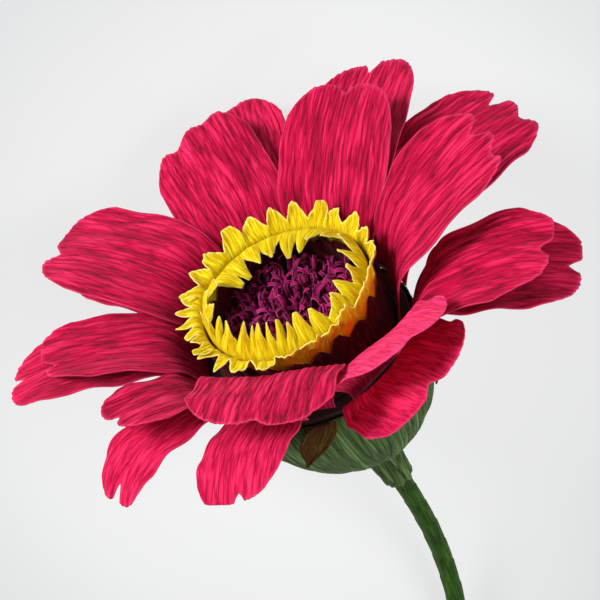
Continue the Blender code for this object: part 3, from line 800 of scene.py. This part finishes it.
@dataclass
class CurledMiddle:
    """The rolled, fringed strip in the middle, its cut ends curled over one another."""

    name: str = "centre_roll"
    outer_radius: float = 13.4 * MM
    ring_pitch: float = 1.05 * MM
    ribbon_width: float = 1.25 * MM
    base_depth: float = MIDDLE_BASE_DEPTH
    crest_depth: float = 4.6 * MM
    innermost: float = 0.6 * MM
    crumple: float = 0.5 * MM
    patterns: int = 6
    seed: int = 5

    def ribbon(self, bench: Workbench, length: float, curl: float, number: int) -> Piece:
        """One cut end as a short ribbon that stands up and curls over by this many degrees."""
        strip = Strip(0.0, 0.0, length, [(0, 88), (0.5, 82), (1, 82 - curl)])

        def grow(across: float, along: float) -> Grown:
            reach, height, _ = strip.at(along * length)
            crumple = noise.noise(Vector((across * 1.4, along * 3, number * 3.1)))
            side = across * self.ribbon_width / 2 * (1 - 0.45 * along)
            point = Vector((reach + self.crumple * crumple + 0.25 * MM * across * across, side, height))
            # Relief: painted shade towards the ribbon's foot, lighter on the crumples; rim: a painted highlight
            # on its sides towards the curled end
            return point, 0.5 + 0.6 * crumple - 0.6 * (1 - along), smooth((abs(across) - 0.7) / 0.3) * along

        return bench.sheet(f"ribbon_{number}", 4, 9, grow, (1.4, length / MM), thickness=0.14 * MM)

    def build(self, bench: Workbench) -> None:
        """Sets a few patterns of ribbon round and round the roll."""
        draw = random.Random(self.seed)
        still = Workbench(Matrix.Identity(4), bench.materials)
        tall = self.base_depth - self.crest_depth
        patterns = [
            self.ribbon(still, tall * (1.15 + 0.12 * i), 40 + 34 * i, i) for i in range(self.patterns)
        ]
        joined = bmesh.new()
        radius = self.innermost
        while radius < self.outer_radius:
            count = max(3, int(math.tau * radius / (self.ribbon_width * 0.8)))
            for number in range(count):
                angle = math.tau * (number + draw.random()) / count
                pattern = draw.choice(patterns).data
                stand = Matrix.Translation(around(angle, radius, -self.base_depth))
                turn = Matrix.Rotation(angle + draw.gauss(0.0, 1.5), 4, "Z")
                lean = Matrix.Rotation(draw.gauss(0.0, 0.35), 4, "Y")
                lean = lean @ Matrix.Rotation(draw.gauss(0.0, 0.45), 4, "X")
                scale = Matrix.Scale(draw.uniform(0.62, 1.12), 4)
                before = len(joined.verts)
                joined.from_mesh(pattern)
                joined.verts.ensure_lookup_table()
                placed = bench.head @ stand @ turn @ lean @ scale
                bmesh.ops.transform(joined, matrix=placed, verts=joined.verts[before:])
            radius += self.ring_pitch
        mesh = bpy.data.meshes.new(self.name)
        joined.to_mesh(mesh)
        joined.free()
        for pattern in patterns:
            bpy.data.objects.remove(pattern)
        piece = bpy.data.objects.new(self.name + "_curls", mesh)
        bpy.context.scene.collection.objects.link(piece)
        mesh.shade_smooth()
        bench.hand_over(piece, PURPLE, self.name)


@dataclass
class Neck:
    """Where the calyx leans and the stem runs: straight, then bent evenly to one side."""

    widest_depth: float = 16.5 * MM
    height: float = 29.0 * MM
    length: float = 120.0 * MM
    straight: float = 14.0 * MM
    bent: float = 85.0 * MM
    bend: float = 34
    bend_side: float = 232
    steps: int = 240

    def __post_init__(self) -> None:
        """Walks down the stem once."""
        start = self.tilted(NECK_TILT, 0)
        end = self.tilted(self.bend, self.bend_side)
        point = self.leaned(Vector((0, 0, -self.widest_depth - self.height)))
        self.step = self.length / self.steps
        self.points = []
        self.tangents = []
        for i in range(self.steps + 1):
            share = smooth((i * self.step - self.straight) / (self.bent - self.straight))
            tangent = start.lerp(end, share).normalized()
            self.points.append(point.copy())
            self.tangents.append(tangent)
            point = point + tangent * self.step

    @staticmethod
    def tilted(angle: float, side: float) -> Vector:
        """Straight down, turned by this angle towards a side of the flower's axis, in degrees."""
        outward = around(math.radians(side), 1.0, 0.0)
        return Vector((0, 0, -1)) * math.cos(math.radians(angle)) + outward * math.sin(math.radians(angle))

    def leaned(self, point: Vector) -> Vector:
        """The calyx leans with the neck of the stem, further the lower it is."""
        down = max(0.0, -point.z - self.widest_depth)
        return point + Vector((1, 0, 0)) * down * math.tan(math.radians(NECK_TILT))

    def beside(self, distance: float, angle: float, reach: float) -> Vector:
        """The point this far below the calyx and this far out, at an angle round the stem."""
        place = min(max(distance / self.step, 0.0), len(self.points) - 1.001)
        index = int(place)
        point = self.points[index].lerp(self.points[index + 1], place - index)
        direction = self.tangents[index]
        side = direction.cross(Vector((0, 1, 0))).normalized()
        return point + reach * (math.cos(angle) * side + math.sin(angle) * direction.cross(side))


@dataclass
class Calyx:
    """The green crepe bowl under the petals, gathered into pleats that run to the stem."""

    neck: Neck
    radius: float = 20.6 * MM
    rim_depth: float = 14.4 * MM
    bottom_radius: float = 2.5 * MM
    wrinkles: float = 0.46 * MM
    gathers: float = 0.35 * MM
    pleating: float = 25.0
    sepals: int = 5
    sepal_first: float = 258
    sepal_rise: float = 0.6 * MM
    sepal_gap: float = 0.92 * MM
    sepal_length: float = 8.5 * MM
    sepal_width: float = 6.6 * MM
    sepal_swerve: float = -16
    sepal_slopes: tuple[tuple[float, float], ...] = ((0, -60), (0.5, -78), (1, -86))
    sepal_widest: float = 0.28
    sepal_pointed: float = 1.7

    def bowl(self, bench: Workbench) -> None:
        """The bowl, with more and deeper gathers towards the stem."""
        last = math.acos(self.bottom_radius / self.radius)

        def grow(across: float, along: float) -> Grown:
            angle = -math.pi * (across + 1)
            turn = last * max(0.0, along - 0.05) / 0.95
            radius = self.radius * math.cos(turn)
            height = -self.neck.widest_depth - self.neck.height * math.sin(turn)
            height += (self.neck.widest_depth - self.rim_depth) * smooth(1 - along / 0.05)
            spot = around(angle, self.pleating, along * 2.0)
            coarse = abs(noise.noise(spot)) ** 0.6
            fine = abs(noise.noise(Vector((spot.x * 2.2, spot.y * 2.2, along * 5 + 9))))
            # The relief also colours the pleats: painted shade in their folds, painted highlight on their
            # ridges
            relief = min(1.0, 1.25 * coarse + 0.4 * fine)
            gather = noise.noise(around(angle, 7.0, along))
            deep = self.wrinkles * (relief - 0.5) + self.gathers * gather * along
            reach = radius + deep * min(1.0, radius / self.radius + 0.25)
            return self.neck.leaned(around(angle, reach, height)), relief, 0.0

        flat = (math.tau * self.radius / MM, 45.0)
        piece = bench.sheet("calyx_cup", 520, 28, grow, flat, ring=True, thickness=0.3 * MM)
        bench.hand_over(piece, GREEN, "calyx_cup")

    def sepal(self, bench: Workbench, number: int) -> None:
        """A pointed leaf that hangs from the calyx rim."""
        facing = self.sepal_first + 360 / self.sepals * (number - 1)
        rim = self.sepal_rise - self.rim_depth
        strip = Strip(self.radius + self.sepal_gap, rim, self.sepal_length, list(self.sepal_slopes))

        def grow(across: float, along: float) -> Grown:
            radius, height, _ = strip.at(along * self.sepal_length)
            part = self.sepal_widest + (1 - self.sepal_widest) * along
            taper = math.sin(math.pi * part) ** self.sepal_pointed
            width = self.sepal_width * (0.06 + 0.94 * taper)
            turn = math.radians(facing + self.sepal_swerve * along) + across * width / 2 / radius
            relief = wrinkle(across * width / 2 / MM, along * self.sepal_length / MM, number * 11.0, 0.5)
            lift = 0.5 * MM * across * across + 0.14 * MM * (relief - MEAN_RELIEF)
            return self.neck.leaned(around(turn, radius + lift * 0.6, height + lift * 0.6)), relief, 0.0

        name = f"sepal_{number}"
        piece = bench.sheet(name, 24, 30, grow, (self.sepal_width / MM, self.sepal_length / MM))
        bench.hand_over(piece, BROWN, name)

    def build(self, bench: Workbench) -> None:
        """The bowl and the leaves on its rim."""
        self.bowl(bench)
        for number in range(1, self.sepals + 1):
            self.sepal(bench, number)


@dataclass
class Stem:
    """Paper tape wound round the wire, with a gathered sleeve at its top."""

    neck: Neck
    radius: float = 1.95 * MM
    tape_pitch: float = 6.5 * MM
    tape_step: float = 0.14 * MM
    gap: float = 0.3 * MM
    collar_length: float = 14.0 * MM
    collar_radius: float = 3.6 * MM
    collar_top: float = 1.0 * MM

    def wrap(self, bench: Workbench) -> None:
        """The wound tape, its edge showing as a low step that runs round the stem."""
        length = self.neck.length - self.gap

        def grow(across: float, along: float) -> Grown:
            angle = math.pi * (across + 1)
            distance = self.gap + length * along
            turn = (angle / math.tau + distance / self.tape_pitch) % 1.0
            spot = around(angle, 2.4, distance / MM / 9)
            relief = min(1.0, 1.1 * abs(noise.noise(spot)) ** 0.7 + 0.5 * abs(noise.noise(spot * 2.3)))
            reach = self.radius - self.tape_step * turn + 0.1 * MM * (relief - 0.5)
            return self.neck.beside(distance, angle, reach), relief, 0.0

        flat = (math.tau * self.radius / MM, length / MM)
        piece = bench.sheet("stem_wrap", 28, 360, grow, flat, ring=True, thickness=0.3 * MM)
        bench.hand_over(piece, STEM_PAPER, "stem_wrap")

    def collar(self, bench: Workbench) -> None:
        """The sleeve under the calyx, torn along its lower edge."""

        def grow(across: float, along: float) -> Grown:
            angle = math.pi * (across + 1)
            rag = 1.3 * MM * noise.noise(around(angle, 2.2, 4.0)) * along
            distance = self.collar_top + (self.collar_length - self.collar_top) * along + rag
            spot = around(angle, 3.2, along * 1.5)
            relief = min(1.0, 1.6 * abs(noise.noise(spot)) ** 0.8 + 0.5 * abs(noise.noise(spot * 2.4)))
            reach = self.collar_radius - 0.5 * MM * abs(2 * along - 0.9) + 0.45 * MM * (relief - 0.5)
            return self.neck.beside(distance, angle, reach), relief, smooth((along - 0.94) / 0.06)

        flat = (math.tau * self.collar_radius / MM, self.collar_length / MM)
        piece = bench.sheet("stem_collar", 100, 30, grow, flat, ring=True)
        bench.hand_over(piece, GREEN, "stem_collar")

    def build(self, bench: Workbench) -> None:
        """The tape and the sleeve."""
        self.wrap(bench)
        self.collar(bench)


@dataclass
class HeadFrame:
    """The flower head's own frame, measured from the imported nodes."""

    nodes: dict[str, Piece]

    def corners(self, name: str) -> np.ndarray:
        """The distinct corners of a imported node."""
        points = np.array([corner.co for corner in self.nodes[name].data.vertices], float)
        return np.unique(points.round(6), axis=0)

    def matrix(self) -> Matrix:
        """From the head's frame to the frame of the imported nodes.

        Returns:
            A rigid transform: the drum's strip gives the axis and the base, the petals give the turn.
        """
        ring = self.corners("drum_wrap")
        middle = ring.mean(0)
        _, directions = np.linalg.eigh(np.cov((ring - middle).T))
        axis = directions[:, 0]
        if axis @ (middle - self.corners("calyx_cup").mean(0)) < 0:
            axis = -axis
        origin = middle + axis * (((ring - middle) @ axis).min() + PETAL_BASE_DEPTH)
        up = Vector(axis)
        first = up.orthogonal().normalized()
        second = up.cross(first)
        sine = cosine = 0.0
        for layer, petals in PETALS.items():
            for petal in petals:
                found = Vector(self.corners(f"petal_{layer}_{petal.place}").mean(0) - origin)
                known = petal.middle()
                x, y = found.dot(first), found.dot(second)
                cosine += known.x * x + known.y * y
                sine += known.x * y - known.y * x
        turn = math.atan2(sine, cosine)
        across = first * math.cos(turn) + second * math.sin(turn)
        columns = Matrix((across, up.cross(across), up)).transposed()
        return Matrix.Translation(Vector(origin)) @ columns.to_4x4()


# Each lamp's name, place in the camera's own directions in metres, watts and size
LAMPS = [("key", (-0.50, 0.15, 0.43), 4.8, 0.22), ("fill", (0.30, -0.08, 0.28), 1.2, 0.30)]


@dataclass
class Studio:
    """A pale floor, soft light, and a camera that sees the bloom as the photograph does."""

    head: Matrix
    distance: float = 0.270
    lens: float = 90.0
    axis_seen: tuple[float, float, float] = (-0.338, 0.666, 0.665)
    first_seen: tuple[float, float, float] = (0.89, 0.455, 0.0)
    crest_pixel: tuple[float, float] = (284.0, 290.0)
    picture: float = 600.0
    floor_size: float = 6.0
    floor_reach: float = 0.2
    floor_shift: tuple[float, float, float] = (0.009, -0.009, 0.0)
    floor_glow: float = 0.75
    sky_light: float = 0.36
    sky_seen: float = 0.92

    def camera(self) -> None:
        """Stands the camera where the head's axis is seen as it is in the photograph."""
        axis = Vector(self.axis_seen).normalized()
        first = Vector(self.first_seen)
        first = (first - first.dot(axis) * axis).normalized()
        seen = Matrix((first, axis.cross(first), axis)).transposed().to_4x4()
        data = bpy.data.cameras.new("camera")
        data.lens = self.lens
        data.shift_x = -(self.crest_pixel[0] - self.picture / 2) / self.picture
        data.shift_y = (self.crest_pixel[1] - self.picture / 2) / self.picture
        camera = bpy.data.objects.new("camera", data)
        bpy.context.scene.collection.objects.link(camera)
        camera.matrix_world = self.head @ (Matrix.Translation((0, 0, -self.distance)) @ seen).inverted()
        bpy.context.scene.camera = camera

    def lamp(self, name: str, place: tuple[float, float, float], energy: float, size: float) -> None:
        """A soft square lamp, placed in the camera's own directions and aimed at the bloom."""
        data = bpy.data.lights.new(name, "AREA")
        data.energy = energy
        data.size = size
        lamp = bpy.data.objects.new(name, data)
        bpy.context.scene.collection.objects.link(lamp)
        camera = bpy.context.scene.camera.matrix_world
        target = self.head.translation
        spot = target + camera.to_3x3() @ Vector(place)
        lamp.location = spot
        lamp.rotation_mode = "QUATERNION"
        lamp.rotation_quaternion = (target - spot).to_track_quat("-Z", "Y")

    @staticmethod
    def seen(tree: Tree) -> Socket:
        """1 for what the camera sees, straight, in a reflection or through something clear, and else 0."""
        path = add_node(tree, "LightPath")
        most = path.outputs["Is Camera Ray"]
        for kind in ("Is Glossy Ray", "Is Transmission Ray"):
            most = add_node(tree, "Math", operation="MAXIMUM", i0=most, i1=path.outputs[kind]).outputs[0]
        return most

    def floor(self) -> None:
        """A wide pale floor with a painted pool of light where the camera looks, darker further out, that keeps
        the flower's shadow.
        """
        pick()
        bpy.ops.mesh.primitive_plane_add(size=self.floor_size)
        floor = bpy.context.object
        floor.name = "floor"
        made = bpy.data.materials.new("pale_floor")
        made.use_nodes = True
        tree = made.node_tree
        tree.nodes.clear()
        view = bpy.context.scene.camera.matrix_world
        ray = view.to_3x3() @ Vector((0, 0, -1))
        middle = view.translation - ray * (view.translation.z / ray.z)
        middle = middle + view.to_3x3() @ Vector(self.floor_shift)
        place = add_node(tree, "TexCoord").outputs["Object"]
        apart = add_node(tree, "VectorMath", operation="DISTANCE", i0=place, i1=middle).outputs["Value"]
        grain = add_node(tree, "TexNoise", Vector=place, Scale=400.0).outputs["Fac"]
        apart = weighted(tree, [(apart, 1 / self.floor_reach), (grain, 0.01)])
        # A painted pool of light: brightest where the camera looks, darker further out
        colour = ramp(tree, apart, [(0.08, "F3F4F4"), (0.34, "EAEBEB"), (0.6, "D0D3D5"), (1.0, "DFE1E2")])
        matt = add_node(tree, "BsdfDiffuse", Color=colour).outputs[0]
        glow = add_node(tree, "Emission", Color=colour, Strength=1.0).outputs[0]
        share = weighted(tree, [(self.seen(tree), self.floor_glow)])
        both = add_node(tree, "MixShader", i0=share, i1=matt, i2=glow).outputs[0]
        add_node(tree, "OutputMaterial", Surface=both)
        floor.data.materials.append(made)

    def build(self) -> None:
        """Camera, lamps, a sky that is brighter to the camera than it lights, and floor."""
        scene = bpy.context.scene
        scene.view_settings.view_transform = "Standard"
        self.camera()
        for lamp in LAMPS:
            self.lamp(*lamp)
        world = bpy.data.worlds.new("studio")
        scene.world = world
        world.use_nodes = True
        tree = world.node_tree
        sky = tree.nodes["Background"]
        sky.inputs["Color"].default_value = linear("F4F5F6")
        strength = weighted(tree, [(self.seen(tree), self.sky_seen - self.sky_light)], self.sky_light)
        tree.links.new(strength, sky.inputs["Strength"])
        self.floor()


def dress_nodes(bench: Workbench, nodes: dict[str, Piece]) -> None:
    """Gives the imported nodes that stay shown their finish."""
    for name, finish in (("flower_core", CORE_PAPER), ("stem_wire", WIRE)):
        nodes[name].data.materials.clear()
        nodes[name].data.materials.append(bench.material(finish))


def main() -> None:
    """Builds the flower's pieces in order, then the studio."""
    logging.basicConfig(level=logging.INFO, format="%(message)s")
    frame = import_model()
    nodes = frame["nodes"]
    head = HeadFrame(nodes).matrix()
    bench = Workbench(head)
    dress_nodes(bench, nodes)
    for layer, petals in PETALS.items():
        for number, petal in enumerate(petals):
            # Each petal is cut from its own part of the roll
            petal.seed = number * 3.0 + (1.0 if layer == "inner" else 2.0)
            petal.build(bench, layer)
    for strip in STRIPS:
        strip.build(bench)
    CurledMiddle().build(bench)
    neck = Neck()
    Calyx(neck).build(bench)
    Stem(neck).build(bench)
    Studio(head).build()


if __name__ == "__main__":
    main()
